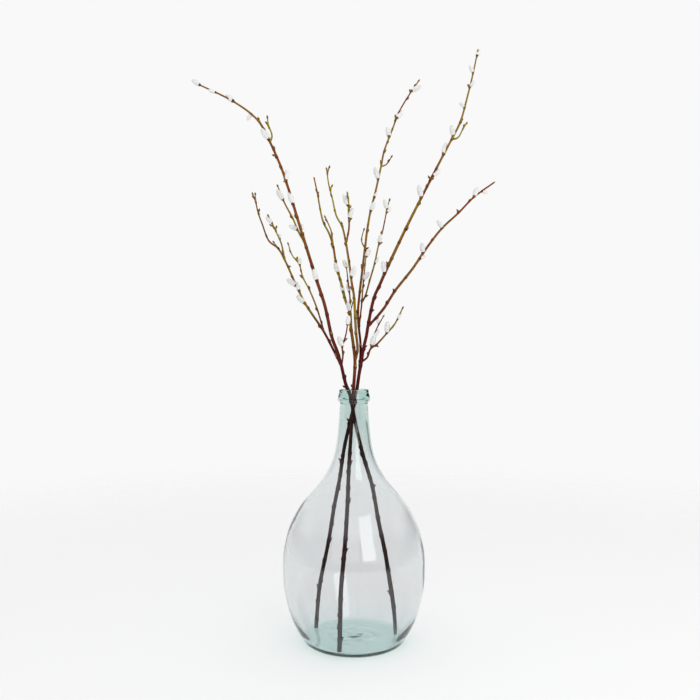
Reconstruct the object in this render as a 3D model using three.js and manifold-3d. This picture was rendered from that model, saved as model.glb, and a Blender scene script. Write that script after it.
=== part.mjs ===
// Three dried pussy-willow sprays standing in a hand-blown glass balloon vase.
// Millimetres, +Z up, -Y towards the viewer. The origin is the centre of the vase's base.

import * as THREE from "three";
import { mergeVertices } from "three/addons/utils/BufferGeometryUtils.js";
import Module from "manifold-3d";

const wasm = await Module();
wasm.setup();

// Vase
const WALL = 3.4;
const FLOOR_TOP = 7.7;
const FLOOR_RADIUS = 92;
// The radius at which the curve between the inner wall and the floor would have its corner
const FLOOR_CORNER_RADIUS = 97.1;
const BASE_RADIUS = 95;
const RIM_HEIGHT = 500;
const LIP_RADIUS = 1.9;
const VASE_SIDES = 36;
const OUTER_POINTS = 18;
const INNER_POINTS = 13;
const FLOOR_CURVE_POINTS = 2;
const LIP_POINTS = 4;
// Where the inner wall starts and ends, as shares of the outer curve's length
const INNER_FROM = 0.045;
const INNER_TO = 0.945;

// Outer side of the glass from the base to the neck, as radius and height
const BODY = [
  [97.5, 1], [102, 6], [107, 14], [114.8, 28], [123, 45], [130, 65], [136.4, 90], [140.6, 115],
  [142, 145], [141, 175], [136.7, 200], [129.9, 225], [118, 250], [106.2, 270], [89.6, 290],
  [71.9, 310], [57.5, 330], [47.2, 350], [37.4, 380], [31.9, 420], [29.2, 448], [27.6, 471],
];
// The collar at the mouth, from its lower edge to the lip
const COLLAR = [
  [30.7, 476], [32.6, 481], [31.2, 488], [29.6, 494],
];

// Stems stand on the vase floor with this gap
const SEAT_GAP = 0.3;

// Bark
const STEM_SIDES = 6;
const TWIG_SIDES = 5;
const TWIG_RADIUS = 2;
const RING_STEP = 22;
const RINGS_PER_NODE = 3;
const NODE_SWELL = 1.3;
const TIP_NARROWING = 0.45;

// Spurs: the short side shoots and the buds that end them
const SPUR_SIDES = 4;
const SPUR_ROOT_RADIUS = 1.5;
const SPUR_NECK_RADIUS = 1;
const BUD_RADIUS = 1.8;
const BUD_LENGTH = 8;
// The most of a spur's length that is bud, and where a bud is fullest, as a share from its tip
const BUD_SHARE = 0.7;
const BUD_FULLEST = 0.55;

// Catkins
const CATKIN_SIDES = 6;
const CATKIN_RINGS = 4;
const CATKIN_SLIMNESS = 0.46;
const CATKIN_WIDTHS = [7.5, 11.4];
const CATKIN_TAPER = 0.2;
const CATKIN_ROOT = 1.2;

// Each spray is a list of stems. A stem has its radii at root and tip, its route as hand-placed
// points, and what grows from it: spurs and catkins, each as [share of the stem's length, dx, dy, dz]
// from the stem's core to its own tip. A side stem starts on a point of the stem that bears it.
const LEFT_SPRAY = [
  {
    radii: [4.2, 1.3],
    route: [
      [86, -9, 3], [74, -10, 98], [63, -11, 172], [48, -13, 241], [36, -14, 309], [17, -15, 373],
      [3, -15, 433], [-8, -13, 488], [-17, -14, 513], [-25, -18, 547], [-33, -24, 575],
      [-43, -31, 602], [-57, -44, 665], [-73, -52, 715], [-94, -62, 783], [-106, -68, 822],
      [-126, -78, 888], [-139, -82, 926], [-159, -88, 971], [-178, -87, 1007], [-196, -86, 1026],
      [-228, -82, 1049], [-253, -80, 1063], [-294, -72, 1084],
    ],
    spurs: [
      [0.079, -9, -3, 6], [0.26, 8, 4, 3], [0.316, -6, -2, 4], [0.427, -11, 2, 8],
      [0.782, -4, -4, -3], [0.822, -10, 2, 5], [0.87, -12, 4, 25],
    ],
    catkins: [
      [0.616, -7, -6, 24], [0.694, -1, 7, 22], [0.744, -9, -3, 25], [0.782, 3, 5, 25],
      [0.852, -15, -8, 20], [0.902, -9, 4, -13], [0.938, -16, 8, 17], [0.971, -14, -5, 3],
      [1, -18, 2, 12],
    ],
  },
  {
    radii: [1.7, 1.1],
    route: [[-94, -62, 783], [-107, -55, 806], [-119, -46, 834], [-135, -42, 864], [-151, -37, 903]],
    spurs: [],
    catkins: [[0.246, -18, -7, 8], [0.743, -13, -6, 21]],
  },
  {
    radii: [1.5, 1],
    route: [[-159, -88, 971], [-155, -93, 982], [-161, -99, 1001], [-163, -104, 1018]],
    spurs: [[0.559, -8, 4, 13]],
    catkins: [],
  },
  {
    radii: [2.3, 1.1],
    route: [
      [-25, -18, 547], [-40, -18, 577], [-60, -8, 615], [-98, 8, 672], [-116, 18, 708],
      [-141, 30, 762], [-155, 36, 786], [-174, 40, 802], [-189, 46, 839], [-197, 50, 860],
      [-203, 52, 884], [-211, 55, 906],
    ],
    spurs: [[0.563, 6, -2, 1], [0.67, -12, 2, 17], [0.883, 3, -4, 11], [0.942, -2, 8, 23]],
    catkins: [[0.357, -20, 7, 18], [0.427, -6, 5, 21], [0.457, -22, -3, 15]],
  },
  {
    radii: [1.6, 1],
    route: [[-141, 30, 762], [-147, 18, 794], [-158, 10, 819], [-165, 5, 835], [-174, 1, 851]],
    spurs: [[0.635, 3, 2, 11], [0.698, -10, -4, 6]],
    catkins: [[0.448, 1, 4, 12], [0.793, -13, -8, 12]],
  },
  {
    radii: [1.6, 1],
    route: [
      [-60, -8, 615], [-73, -20, 660], [-88, -19, 697], [-101, -18, 722], [-109, -12, 749],
      [-123, -7, 767], [-133, 0, 795],
    ],
    spurs: [[0.586, -6, -4, 4], [0.782, 3, 2, 7]],
    catkins: [[0.717, 1, 8, 17]],
  },
  {
    radii: [1.6, 1.1],
    route: [[-25, -18, 547], [-22, -24, 567], [-23, -28, 584], [-16, -32, 609], [-13, -34, 627]],
    spurs: [[0.643, 6, 2, 3]],
    catkins: [[0.48, -9, -5, 22], [1, 3, 2, 21]],
  },
];

const MIDDLE_SPRAY = [
  {
    radii: [4.1, 1.2],
    route: [
      [-28, -82, 3], [-27, -77, 56], [-25, -66, 119], [-18, -50, 196], [-13, -34, 275],
      [-10, -18, 341], [-6, -6, 405], [-2, -2, 465], [-1, 0, 501], [1, 0, 529], [2, 2, 558],
      [-2, 8, 594], [-6, 13, 623], [-8, 18, 653], [-18, 25, 682], [-26, 32, 715], [-36, 40, 751],
      [-43, 50, 794], [-51, 55, 819], [-64, 60, 846], [-76, 72, 905], [-84, 80, 943],
    ],
    spurs: [
      [0.026, 8, -3, 6], [0.049, -6, 4, 6], [0.198, 7, -2, 3], [0.294, 7, 2, 6], [0.37, 7, -4, 7],
      [0.52, -5, -2, 13], [0.681, -6, 4, 3], [0.834, -5, -2, 7], [0.954, 1, 4, 11],
    ],
    catkins: [[0.686, -4, -6, 22], [0.731, -5, 7, 18], [0.774, -8, -3, 23]],
  },
  {
    radii: [1.4, 1],
    route: [[-43, 50, 794], [-47, 42, 824], [-52, 37, 836], [-61, 30, 854]],
    spurs: [],
    catkins: [],
  },
  {
    radii: [1.3, 0.9],
    route: [[-8, 18, 653], [-3, 22, 672], [-1, 24, 679]],
    spurs: [],
    catkins: [],
  },
  {
    radii: [1.5, 1],
    route: [[-8, 18, 653], [-8, 14, 682], [-12, 6, 718], [-15, 0, 743]],
    spurs: [],
    catkins: [[0.476, -5, 5, 18], [1, -7, -8, 17]],
  },
  {
    radii: [2.4, 1.1],
    route: [
      [2, 2, 558], [7, -4, 579], [4, -12, 613], [2, -16, 648], [0, -20, 684], [-5, -18, 714],
      [-10, -16, 752], [-16, -6, 791], [-24, 6, 827], [-35, 13, 848], [-44, 26, 887],
      [-51, 35, 915], [-57, 48, 956],
    ],
    spurs: [[0.348, -6, 4, 4], [0.663, -1, -2, 10], [0.87, 6, 2, 13], [0.961, 6, -4, 17]],
    catkins: [[0.403, 10, -4, 24]],
  },
  {
    radii: [1.7, 1],
    route: [[-16, -6, 791], [-10, -18, 820], [-11, -29, 851], [-11, -37, 874], [-14, -42, 888]],
    spurs: [[0.451, 6, -2, 4], [0.654, 6, -4, 8]],
    catkins: [[0.492, 9, -5, 21], [0.722, -11, 8, 26]],
  },
];

const RIGHT_SPRAY = [
  {
    radii: [4.2, 1.2],
    route: [
      [-79, 34, 3], [-70, 31, 96], [-52, 26, 192], [-42, 22, 254], [-29, 16, 316], [-19, 10, 383],
      [-8, 9, 431], [0, 8, 464], [6, 9, 500], [10, 10, 528], [15, 12, 555], [19, 10, 581],
      [25, 8, 607], [28, 5, 626], [40, -4, 683], [51, -8, 708], [68, -14, 746], [102, -24, 818],
      [140, -32, 893], [171, -38, 953], [190, -40, 989], [207, -41, 1023], [221, -44, 1074],
      [232, -42, 1119], [242, -40, 1166],
    ],
    spurs: [
      [0.076, -7, -3, 8], [0.157, 8, 4, 4], [0.245, 7, -2, 8], [0.291, -8, 2, 8],
      [0.356, -6, -4, 11], [0.481, 8, 2, 8], [0.546, 8, 4, 1], [0.567, 6, -2, 2],
      [0.625, -4, 1, 7], [0.69, 5, -4, 1], [0.776, -5, -3, 9], [0.776, 8, 4, 5],
      [0.848, 4, -2, 7], [0.879, 6, 2, 8], [0.936, -5, -4, 4],
    ],
    catkins: [
      [0.611, -5, -3, 26], [0.69, 8, 5, 6], [0.745, -7, -8, 26], [0.783, 18, 4, 15],
      [0.821, 6, 8, 28], [0.854, -5, -5, 23], [0.903, -11, 2, 11], [0.936, 10, -7, 11],
      [0.96, -9, -6, 14], [0.988, 9, 7, 17],
    ],
  },
  {
    radii: [1.4, 0.9],
    route: [[190, -40, 989], [202, -42, 992], [211, -50, 1007], [219, -58, 1019]],
    spurs: [[0.669, 3, 4, 11]],
    catkins: [],
  },
  {
    radii: [1.9, 1.1],
    route: [
      [15, 12, 555], [26, 6, 563], [33, -8, 581], [44, -14, 589], [64, -29, 611], [79, -41, 629],
      [95, -62, 663],
    ],
    spurs: [[0.34, 5, 2, -4]],
    catkins: [[0.564, 1, -7, 26], [0.811, 7, -6, 12]],
  },
  {
    radii: [1.3, 0.9],
    route: [[33, -8, 581], [42, -10, 614], [60, -22, 649]],
    spurs: [],
    catkins: [[0.077, 8, -5, 25], [0.328, 12, 2, 16], [0.706, -4, 7, 10]],
  },
  {
    radii: [2.1, 1.1],
    route: [
      [28, 5, 626], [45, 10, 644], [62, 16, 665], [83, 25, 698], [120, 38, 745], [150, 47, 789],
      [182, 56, 830], [218, 61, 864], [249, 66, 896], [296, 72, 931],
    ],
    spurs: [[0.224, -4, -2, 5], [0.75, -4, 2, 7]],
    catkins: [
      [0.437, 14, 5, 6], [0.469, -3, -3, 24], [0.635, -13, -8, 16], [0.863, 8, 4, 24],
      [0.915, 15, 8, -4],
    ],
  },
  {
    radii: [2.4, 1.2],
    route: [
      [10, 10, 528], [13, 15, 569], [13, 17, 594], [10, 20, 623], [8, 24, 652], [11, 30, 689],
      [16, 38, 732], [23, 48, 788], [27, 54, 822], [35, 62, 869], [45, 68, 908], [57, 76, 963],
      [64, 79, 997], [80, 84, 1040], [96, 88, 1082], [121, 90, 1124], [140, 92, 1152],
    ],
    spurs: [
      [0.341, -3, -4, 6], [0.399, 9, 2, 6], [0.692, -3, -2, 6], [0.732, 5, 1, 3],
      [0.841, -1, -3, 13], [0.948, -3, 4, 7],
    ],
    catkins: [
      [0.528, 9, -3, 21], [0.576, 8, 5, 15], [0.637, -9, -8, 27], [0.782, -5, 4, 25],
      [0.849, 15, 8, 20], [0.952, 23, -5, 11],
    ],
  },
  {
    radii: [1.2, 0.9],
    route: [[23, 48, 788], [16, 52, 804], [22, 60, 833]],
    spurs: [],
    catkins: [],
  },
  {
    radii: [1.2, 0.9],
    route: [[57, 76, 963], [68, 74, 967], [81, 65, 985]],
    spurs: [],
    catkins: [],
  },
  {
    radii: [1.6, 1],
    route: [
      [10, 20, 623], [14, 20, 656], [16, 19, 675], [18, 18, 706], [21, 15, 736], [24, 12, 766],
    ],
    spurs: [],
    catkins: [[0.677, 12, -6, 18], [1, 10, 7, 18]],
  },
  {
    radii: [1.6, 1],
    route: [
      [16, 19, 675], [23, 14, 688], [31, 8, 716], [41, 0, 751], [49, -8, 788], [57, -14, 816],
      [65, -22, 856], [71, -26, 878],
    ],
    spurs: [[0.071, 6, 4, 1], [0.572, 7, 1, 3]],
    catkins: [[0.389, 9, 2, 13], [0.578, 4, -7, 19], [0.863, 11, 7, 14], [0.897, -7, -6, 20]],
  },
];

function paired(points) {
  return points.map(([radius, height]) => new THREE.Vector2(radius, height));
}

// The glass wall as one closed outline: base, outer side, collar, lip, inner wall and floor
function vaseGeometry() {
  const side = new THREE.SplineCurve(paired(BODY));
  const outer = side.getSpacedPoints(OUTER_POINTS);
  const collar = paired(COLLAR);
  const lipCentre = new THREE.Vector2(COLLAR.at(-1)[0] - LIP_RADIUS, RIM_HEIGHT - LIP_RADIUS);
  const lip = [];
  for (let i = 0; i <= LIP_POINTS; i += 1) {
    const angle = (Math.PI * i) / LIP_POINTS;
    const onLip = new THREE.Vector2(Math.cos(angle), Math.sin(angle)).multiplyScalar(LIP_RADIUS);
    lip.push(onLip.add(lipCentre));
  }
  const inner = [];
  for (let i = 0; i <= INNER_POINTS; i += 1) {
    const share = THREE.MathUtils.lerp(INNER_TO, INNER_FROM, i / INNER_POINTS);
    const along = side.getTangentAt(share);
    const inward = new THREE.Vector2(-along.y, along.x).multiplyScalar(WALL);
    inner.push(side.getPointAt(share).add(inward));
  }
  const floorEdge = new THREE.Vector2(FLOOR_RADIUS, FLOOR_TOP);
  const corner = new THREE.Vector2(FLOOR_CORNER_RADIUS, FLOOR_TOP);
  const floorCurve = new THREE.QuadraticBezierCurve(inner.at(-1), corner, floorEdge);
  return new THREE.LatheGeometry(
    [
      new THREE.Vector2(0, 0),
      new THREE.Vector2(BASE_RADIUS, 0),
      ...outer,
      ...collar,
      ...lip,
      ...inner,
      ...floorCurve.getPoints(FLOOR_CURVE_POINTS).slice(1),
      new THREE.Vector2(0, FLOOR_TOP),
    ],
    VASE_SIDES,
  );
}

// A closed geometry as a solid that can be joined to others
function solid(geometry) {
  geometry.deleteAttribute("normal");
  geometry.deleteAttribute("uv");
  const welded = mergeVertices(geometry);
  return new wasm.Manifold(
    new wasm.Mesh({
      numProp: 3,
      vertProperties: welded.attributes.position.array,
      triVerts: new Uint32Array(welded.index.array),
    }),
  );
}

// Turns a shape that grows up from the origin along +Y so that it reaches out from a root
function laid(geometry, reach, root) {
  const up = new THREE.Vector3(0, 1, 0);
  const direction = reach.clone().normalize();
  geometry.applyQuaternion(new THREE.Quaternion().setFromUnitVectors(up, direction));
  return geometry.translate(root.x, root.y, root.z);
}

// A tapered round rod that follows a curve, swollen at its nodes and narrowed at its tip
function stemGeometry(curve, [rootRadius, tipRadius]) {
  const sides = rootRadius > TWIG_RADIUS ? STEM_SIDES : TWIG_SIDES;
  const rings = Math.ceil(curve.getLength() / RING_STEP);
  const rod = new THREE.CylinderGeometry(tipRadius, rootRadius, 1, sides, rings);
  const frames = curve.computeFrenetFrames(rings);
  const place = rod.attributes.position;
  for (let i = 0; i < place.count; i += 1) {
    const ring = Math.round((place.getY(i) + 0.5) * rings);
    const swell = ring % RINGS_PER_NODE === RINGS_PER_NODE - 1 ? NODE_SWELL : 1;
    const fullness = ring === rings ? TIP_NARROWING : swell;
    const point = curve.getPointAt(ring / rings);
    point.addScaledVector(frames.normals[ring], place.getX(i) * fullness);
    point.addScaledVector(frames.binormals[ring], -place.getZ(i) * fullness);
    place.setXYZ(i, point.x, point.y, point.z);
  }
  return rod;
}

// A short side shoot that ends in a pointed bud, or only the bud where it is very short
function spurGeometry(root, reach) {
  const length = reach.length();
  const bud = Math.min(BUD_LENGTH, length * BUD_SHARE);
  const radii = [SPUR_ROOT_RADIUS, SPUR_NECK_RADIUS, BUD_RADIUS, BUD_RADIUS * TIP_NARROWING];
  const heights = [0, length - bud, length - bud * BUD_FULLEST, length];
  const rings = heights.length - 1;
  const spur = new THREE.CylinderGeometry(1, 1, 1, SPUR_SIDES, rings);
  const place = spur.attributes.position;
  for (let i = 0; i < place.count; i += 1) {
    const ring = Math.round((place.getY(i) + 0.5) * rings);
    place.setXYZ(i, place.getX(i) * radii[ring], heights[ring], place.getZ(i) * radii[ring]);
  }
  return laid(spur, reach, root);
}

// A silky egg, fullest near its root, where the scale of the bud that it broke from holds it
function catkinGeometry(root, reach) {
  const length = reach.length();
  const width = THREE.MathUtils.clamp(length * CATKIN_SLIMNESS, ...CATKIN_WIDTHS);
  const halfLength = (length + CATKIN_ROOT) / 2;
  const egg = new THREE.SphereGeometry(1, CATKIN_SIDES, CATKIN_RINGS);
  const place = egg.attributes.position;
  for (let i = 0; i < place.count; i += 1) {
    const fullness = 1 - CATKIN_TAPER * place.getY(i);
    place.setX(i, place.getX(i) * fullness);
    place.setZ(i, place.getZ(i) * fullness);
  }
  egg.scale(width / 2, halfLength, width / 2);
  egg.translate(0, halfLength - CATKIN_ROOT, 0);
  return laid(egg, reach, root);
}

// All stems of a spray, with what grows on them, grown together and cut level at the floor
function sprayGeometry(stems) {
  const shapes = [];
  for (const { radii, route, spurs, catkins } of stems) {
    const curve = new THREE.CatmullRomCurve3(route.map((point) => new THREE.Vector3(...point)));
    shapes.push(stemGeometry(curve, radii));
    for (const [share, ...reach] of spurs) {
      shapes.push(spurGeometry(curve.getPointAt(share), new THREE.Vector3(...reach)));
    }
    for (const [share, ...reach] of catkins) {
      shapes.push(catkinGeometry(curve.getPointAt(share), new THREE.Vector3(...reach)));
    }
  }
  const grown = shapes.map(solid).reduce((whole, piece) => whole.add(piece));
  const below = new THREE.BoxGeometry(BASE_RADIUS * 2, BASE_RADIUS * 2, FLOOR_TOP * 2);
  below.translate(0, 0, SEAT_GAP);
  const mesh = grown.subtract(solid(below)).getMesh();
  const geometry = new THREE.BufferGeometry();
  geometry.setAttribute("position", new THREE.BufferAttribute(mesh.vertProperties, mesh.numProp));
  geometry.setIndex(new THREE.BufferAttribute(mesh.triVerts, 1));
  return geometry;
}

const glass = new THREE.MeshStandardMaterial({
  color: 0xcfe0dc,
  roughness: 0.05,
  metalness: 0,
  transparent: true,
  opacity: 0.35,
});

const arrangement = new THREE.Group();
const vase = new THREE.Mesh(vaseGeometry().rotateX(Math.PI / 2), glass);
vase.name = "vase";
arrangement.add(vase);

const SPRAYS = { branch_left: LEFT_SPRAY, branch_middle: MIDDLE_SPRAY, branch_right: RIGHT_SPRAY };
for (const [name, stems] of Object.entries(SPRAYS)) {
  const bark = new THREE.MeshStandardMaterial({ color: 0x5b3022, roughness: 0.55, metalness: 0 });
  const branch = new THREE.Mesh(sprayGeometry(stems), bark);
  branch.name = name;
  arrangement.add(branch);
}

export default arrangement;
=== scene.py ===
"""Three dried pussy-willow sprays standing in a hand-blown glass balloon vase.

The CAD frame gives the vase and one coarse solid for each spray. This script replaces each of them
with its fine form: blown glass of uneven thickness, bark with nodes, leaf scars and buds, and
catkins of silky down held in brown scales. Routes are in millimetres, and every mesh is made in
metres.
"""

import logging
import math
import random
from dataclasses import dataclass, field
from enum import Enum

import bmesh
import bpy
from mathutils import Matrix, Vector, noise


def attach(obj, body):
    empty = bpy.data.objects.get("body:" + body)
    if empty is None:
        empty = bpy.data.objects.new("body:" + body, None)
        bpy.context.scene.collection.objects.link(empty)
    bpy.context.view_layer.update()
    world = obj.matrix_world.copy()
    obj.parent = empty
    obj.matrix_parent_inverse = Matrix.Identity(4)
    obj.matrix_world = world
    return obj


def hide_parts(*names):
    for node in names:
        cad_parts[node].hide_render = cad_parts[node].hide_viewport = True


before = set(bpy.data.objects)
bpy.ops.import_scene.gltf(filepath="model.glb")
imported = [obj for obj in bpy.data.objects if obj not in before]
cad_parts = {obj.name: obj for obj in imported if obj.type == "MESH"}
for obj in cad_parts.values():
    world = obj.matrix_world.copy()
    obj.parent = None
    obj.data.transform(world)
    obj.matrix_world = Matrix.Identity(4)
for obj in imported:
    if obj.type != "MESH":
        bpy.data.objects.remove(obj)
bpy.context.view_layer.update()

LOG = logging.getLogger("willow")
MM = 0.001
GOLDEN_ANGLE = math.pi * (3 - math.sqrt(5))
WELD = 1e-7

Pair = tuple[float, float]
Triple = tuple[float, float, float]
Growth = tuple[float, float, float, float]
Tint = tuple[float, float, float]
Shape = bmesh.types.BMesh
Skin = bpy.types.Material
Socket = bpy.types.NodeSocket


def blend(low: float, high: float, share: float) -> float:
    """Returns the value a share of the way from low to high."""
    return low + (high - low) * share


def shares(count: int) -> list[float]:
    """Returns the ends of a number of equal steps from 0 to 1."""
    return [i / count for i in range(count + 1)]


def hump(share: float) -> float:
    """Returns 1 at a share of 0, falling in half a wave to 0 at a share of 1."""
    return 0.5 + 0.5 * math.cos(math.pi * share)


def bell(distance: float, width: float) -> float:
    """Returns 1 at no distance, falling smoothly to nothing over a few widths."""
    return math.exp(-((distance / width) ** 2))


def standing(axis: Vector, side: Vector) -> Matrix:
    """Returns the turn that puts +Z on an axis and +X on a direction across it."""
    return Matrix((side, axis.cross(side), axis)).transposed().to_4x4()


def linked(name: str, data: bpy.types.ID) -> bpy.types.Object:
    """Returns a new object of the scene that shows some data."""
    made = bpy.data.objects.new(name, data)
    bpy.context.scene.collection.objects.link(made)
    return made


def meshed(name: str, shape: Shape) -> bpy.types.Mesh:
    """Returns a shape, which is freed here, as a mesh."""
    mesh = bpy.data.meshes.new(name)
    shape.to_mesh(mesh)
    shape.free()
    return mesh


class Graph:
    """A material's or a world's node tree, with short ways to add to it."""

    def __init__(self, tree: bpy.types.NodeTree) -> None:
        """Takes the tree and empties it."""
        self.tree = tree
        tree.nodes.clear()

    @classmethod
    def of_material(cls, name: str) -> tuple["Graph", Skin]:
        """Makes a material.

        Args:
            name: the material's name.

        Returns:
            Its empty graph and the material.
        """
        material = bpy.data.materials.new(name)
        material.use_nodes = True
        return cls(material.node_tree), material

    def add(self, kind: str, links: dict | None = None, **settings: object) -> bpy.types.Node:
        """Adds a node.

        Args:
            kind: the node's type without its ShaderNode prefix.
            links: input name or number to an output socket or a plain value.
            settings: the node's own properties.

        Returns:
            The node.
        """
        node = self.tree.nodes.new("ShaderNode" + kind)
        for key, value in settings.items():
            setattr(node, key, value)
        for key, value in (links or {}).items():
            if isinstance(value, Socket):
                self.tree.links.new(value, node.inputs[key])
            else:
                node.inputs[key].default_value = value
        return node

    def place(self) -> Socket:
        """Returns the place on the object, in metres."""
        return self.add("TexCoord").outputs["Object"]

    def attribute(self, name: str, output: str = "Fac") -> Socket:
        """Returns the socket that reads a mesh attribute."""
        return self.add("Attribute", attribute_name=name).outputs[output]

    def stretched(self, vector: Socket, scale: Triple) -> Socket:
        """Returns a vector multiplied by a scale on each axis."""
        return self.add("VectorMath", {0: vector, 1: scale}, operation="MULTIPLY").outputs[0]

    def noise(self, vector: Socket, scale: float, detail: float = 3.0) -> Socket:
        """Returns a noise value between 0 and 1."""
        return self.add("TexNoise", {"Vector": vector, "Scale": scale, "Detail": detail}).outputs[0]

    def ranged(self, value: Socket, low: float, high: float, top: float = 1.0) -> Socket:
        """Returns a smooth step from 0 at low to top at high."""
        links = {"Value": value, "From Min": low, "From Max": high, "To Min": 0.0, "To Max": top}
        return self.add("MapRange", links, interpolation_type="SMOOTHSTEP").outputs[0]

    def math(self, operation: str, first: object, second: object) -> Socket:
        """Returns the result of a sum on two values."""
        return self.add("Math", {0: first, 1: second}, operation=operation).outputs[0]

    def plus(self, first: object, second: object) -> Socket:
        """Returns the sum of two values."""
        return self.math("ADD", first, second)

    def times(self, first: object, second: object) -> Socket:
        """Returns the product of two values."""
        return self.math("MULTIPLY", first, second)

    def mixed(self, factor: object, first: object, second: object) -> Socket:
        """Returns a colour between two colours or colour sockets."""
        first = first if isinstance(first, Socket) else (*first, 1.0)
        second = second if isinstance(second, Socket) else (*second, 1.0)
        return self.add("Mix", {0: factor, 6: first, 7: second}, data_type="RGBA").outputs[2]

    def ramp(self, value: Socket, stops: tuple[tuple[float, Tint], ...]) -> Socket:
        """Returns the colour that a row of stops gives for a value."""
        node = self.add("ValToRGB", {0: value})
        elements = node.color_ramp.elements
        while len(elements) < len(stops):
            elements.new(1.0)
        for element, (place, tint) in zip(elements, stops):
            element.position = place
            element.color = (*tint, 1.0)
        return node.outputs[0]

    def bump(self, height: Socket, strength: float, distance: float) -> Socket:
        """Returns a normal raised by a height."""
        return self.add("Bump", {"Height": height, "Strength": strength, "Distance": distance}).outputs[0]

    def layered(self, factor: Socket, first: bpy.types.Node, second: bpy.types.Node) -> bpy.types.Node:
        """Returns a shader that goes from the first to the second with a factor."""
        return self.add("MixShader", {0: factor, 1: first.outputs[0], 2: second.outputs[0]})

    def surface(self, shader: bpy.types.Node) -> None:
        """Makes a shader the material's surface."""
        self.add("OutputMaterial", {"Surface": shader.outputs[0]})

    def principled(self, links: dict) -> None:
        """Makes a principled shader with these inputs the material's surface."""
        self.surface(self.add("BsdfPrincipled", links))


@dataclass(frozen=True)
class BarkFinish:
    """Satin willow bark: red-brown above the vase's mouth and olive at the tips; below the mouth it is
    darkened with painted shade, grey-brown at the foot and near black about the neck, for the stems
    that stand behind the glass.

    It reads bark_place, the place on the stem as if it were straight, in millimetres, and age,
    olive, node and cut, which run from 0 to 1. Three edges say at which noise a mark starts and is
    full, and how strong it is then.
    """

    name: str = "willow_bark"
    # The stops up to 0.40 are painted shade: the stems inside the vase are made near black, darkest about
    # its neck.
    ages: tuple[tuple[float, Tint], ...] = (
        (0.0, (0.020, 0.010, 0.010)),
        (0.22, (0.030, 0.007, 0.005)),
        (0.40, (0.012, 0.003, 0.003)),
        (0.50, (0.125, 0.010, 0.008)),
        (0.72, (0.230, 0.030, 0.012)),
        (1.0, (0.270, 0.092, 0.012)),
    )
    sunless: Tint = (0.360, 0.320, 0.006)
    scar: Tint = (0.022, 0.010, 0.008)
    wood: Tint = (0.550, 0.420, 0.260)
    lenticel: Tint = (0.260, 0.150, 0.070)
    streak_scale: Triple = (0.30, 0.30, 0.012)
    grain_scale: Triple = (1.8, 1.8, 0.11)
    mottle_scale: Triple = (0.22, 0.22, 0.09)
    lenticel_scale: Triple = (0.55, 0.55, 0.28)
    age_streaks: float = 0.35
    olive_ages: Pair = (0.50, 0.76)
    olive_streaks: Pair = (0.40, 0.55)
    lenticel_edges: Triple = (0.17, 0.10, 0.55)
    mottle_edges: Triple = (0.52, 0.72, 0.5)
    grain_edges: Triple = (0.42, 0.72, 0.55)
    node_darkness: float = 0.75
    grain_relief: float = 1.4
    lenticel_relief: float = 0.8
    relief_height: float = 0.0005
    roughness: float = 0.30
    grain_roughness: float = 0.25
    specular: float = 0.07
    coat: float = 0.06
    coat_roughness: float = 0.25

    def material(self) -> Skin:
        """Returns the bark as a material."""
        graph, material = Graph.of_material(self.name)
        place = graph.attribute("bark_place", "Vector")
        age = graph.attribute("age")
        streak = graph.noise(graph.stretched(place, self.streak_scale), 1.0, 2.0)
        grain = graph.noise(graph.stretched(place, self.grain_scale), 1.0, 4.0)
        aged = graph.plus(age, graph.times(graph.plus(streak, -0.5), self.age_streaks))
        colour = graph.ramp(aged, self.ages)
        olive = graph.times(graph.attribute("olive"), graph.ranged(age, *self.olive_ages))
        sunless = graph.times(graph.ranged(streak, *self.olive_streaks), olive)
        colour = graph.mixed(sunless, colour, self.sunless)
        dots = graph.add("TexVoronoi", {"Vector": graph.stretched(place, self.lenticel_scale), "Scale": 1.0})
        dot = graph.ranged(dots.outputs["Distance"], *self.lenticel_edges)
        colour = graph.mixed(dot, colour, self.lenticel)
        mottle = graph.noise(graph.stretched(place, self.mottle_scale), 1.0, 4.0)
        colour = graph.mixed(graph.ranged(mottle, *self.mottle_edges), colour, self.scar)
        colour = graph.mixed(graph.ranged(grain, *self.grain_edges), colour, self.scar)
        colour = graph.mixed(graph.times(graph.attribute("node"), self.node_darkness), colour, self.scar)
        colour = graph.mixed(graph.attribute("cut"), colour, self.wood)
        relief = graph.plus(graph.times(grain, self.grain_relief), graph.times(dot, self.lenticel_relief))
        roughness = graph.plus(graph.times(grain, self.grain_roughness), self.roughness)
        graph.principled(
            {
                "Base Color": colour,
                "Roughness": roughness,
                "Specular IOR Level": self.specular,
                "Coat Weight": self.coat,
                "Coat Roughness": self.coat_roughness,
                "Normal": graph.bump(relief, 0.5, self.relief_height),
            },
        )
        return material


@dataclass(frozen=True)
class BudFinish:
    """Glossy bud skin and catkin scales, from red-brown to olive by the tone of each."""

    name: str = "bud_skin"
    tones: tuple[tuple[float, Tint], ...] = (
        (0.0, (0.075, 0.022, 0.008)),
        (0.5, (0.280, 0.165, 0.016)),
        (1.0, (0.420, 0.380, 0.020)),
    )
    root: Tint = (0.030, 0.014, 0.010)
    mottle_scale: float = 900.0
    mottle_edges: Triple = (0.45, 0.8, 0.35)
    mottle_height: float = 0.0002
    roughness: float = 0.26
    mottle_roughness: float = 0.2
    specular: float = 0.25
    coat: float = 0.15
    coat_roughness: float = 0.2

    def material(self) -> Skin:
        """Returns the bud skin as a material."""
        graph, material = Graph.of_material(self.name)
        place = graph.place()
        mottle = graph.noise(place, self.mottle_scale)
        colour = graph.ramp(graph.attribute("tone"), self.tones)
        colour = graph.mixed(graph.ranged(mottle, *self.mottle_edges), colour, self.root)
        roughness = graph.plus(graph.times(mottle, self.mottle_roughness), self.roughness)
        graph.principled(
            {
                "Base Color": colour,
                "Roughness": roughness,
                "Specular IOR Level": self.specular,
                "Coat Weight": self.coat,
                "Coat Roughness": self.coat_roughness,
                "Normal": graph.bump(mottle, 0.25, self.mottle_height),
            },
        )
        return material


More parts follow.
